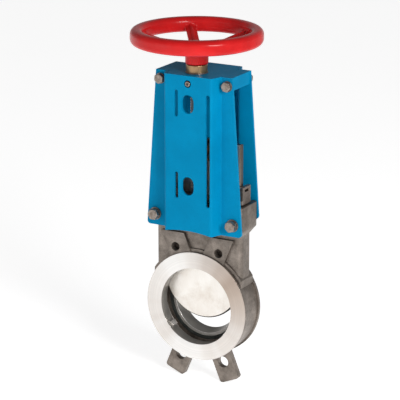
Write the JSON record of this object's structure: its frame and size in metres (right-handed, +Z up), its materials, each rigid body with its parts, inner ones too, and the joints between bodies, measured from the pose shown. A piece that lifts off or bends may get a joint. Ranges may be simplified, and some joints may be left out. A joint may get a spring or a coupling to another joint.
{
  "type": "knife gate valve",
  "caption": "Wafer knife gate valve: blue pressed-steel yoke, red handwheel on a non-rising stem, stainless body with a round bore and a plate gate.",
  "frame": {"origin": "centre of the bore on the inlet raised face", "axes": "+X to the right seen from the inlet, +Y along the flow from inlet to outlet, +Z up the stem to the handwheel"},
  "size_m": [0.244, 0.244, 0.6854],
  "materials": {
    "cast_steel": "shot-blasted stainless casting",
    "seat_rubber": "matt moulded rubber",
    "machined_steel": "turned stainless steel",
    "packing_braid": "lubricated square braid",
    "gland_steel": "cast stainless steel",
    "fastener_steel": "bright zinc-plated steel",
    "yoke_blue": "satin epoxy paint, blue",
    "stem_steel": "rolled and polished stainless steel",
    "brass": "turned brass",
    "wheel_red": "gloss enamel, red",
    "gate_steel": "polished stainless plate"
  },
  "bodies": {
    "valve": {"body": "cast_steel", "seat_seal": "seat_rubber", "seat_retainer": "machined_steel", "packing_lower": "packing_braid", "packing_middle": "packing_braid", "packing_upper": "packing_braid", "gland_follower": "gland_steel", "gland_studs": "fastener_steel", "gland_washers": "fastener_steel", "gland_nuts": "fastener_steel", "yoke_plate_front": "yoke_blue", "yoke_plate_rear": "yoke_blue", "yoke_bridge": "yoke_blue", "yoke_washers_top": "fastener_steel", "yoke_washers_bottom": "fastener_steel", "yoke_lock_washers": "fastener_steel", "yoke_bolts": "fastener_steel", "panel_screws": "fastener_steel", "thrust_washer": "fastener_steel", "bush_ring": "fastener_steel", "stem_bush": "brass"},
    "wheel": {"handwheel": "wheel_red", "stem": "stem_steel", "wheel_key": "fastener_steel", "wheel_washer": "fastener_steel", "wheel_nut": "fastener_steel"},
    "gate": {"gate": "gate_steel", "stem_nut": "brass", "stem_nut_bolts": "fastener_steel", "stem_nut_nuts": "fastener_steel"}
  },
  "joints": [
    {"name": "wheel_turn", "type": "hinge", "parent": "valve", "child": "wheel", "pos_m": [0, 0.005, 0.519], "axis": [0, 0, 1], "range_deg": [-3744, 7560]},
    {"name": "gate_lift", "type": "slide", "parent": "valve", "child": "gate", "axis": [0, 0, 1], "range_m": [-0.0521, 0.1051]}
  ],
  "couplings": [
    {"joint": "gate_lift", "follows": "wheel_turn", "m_per_rad": 0.00079577}
  ]
}
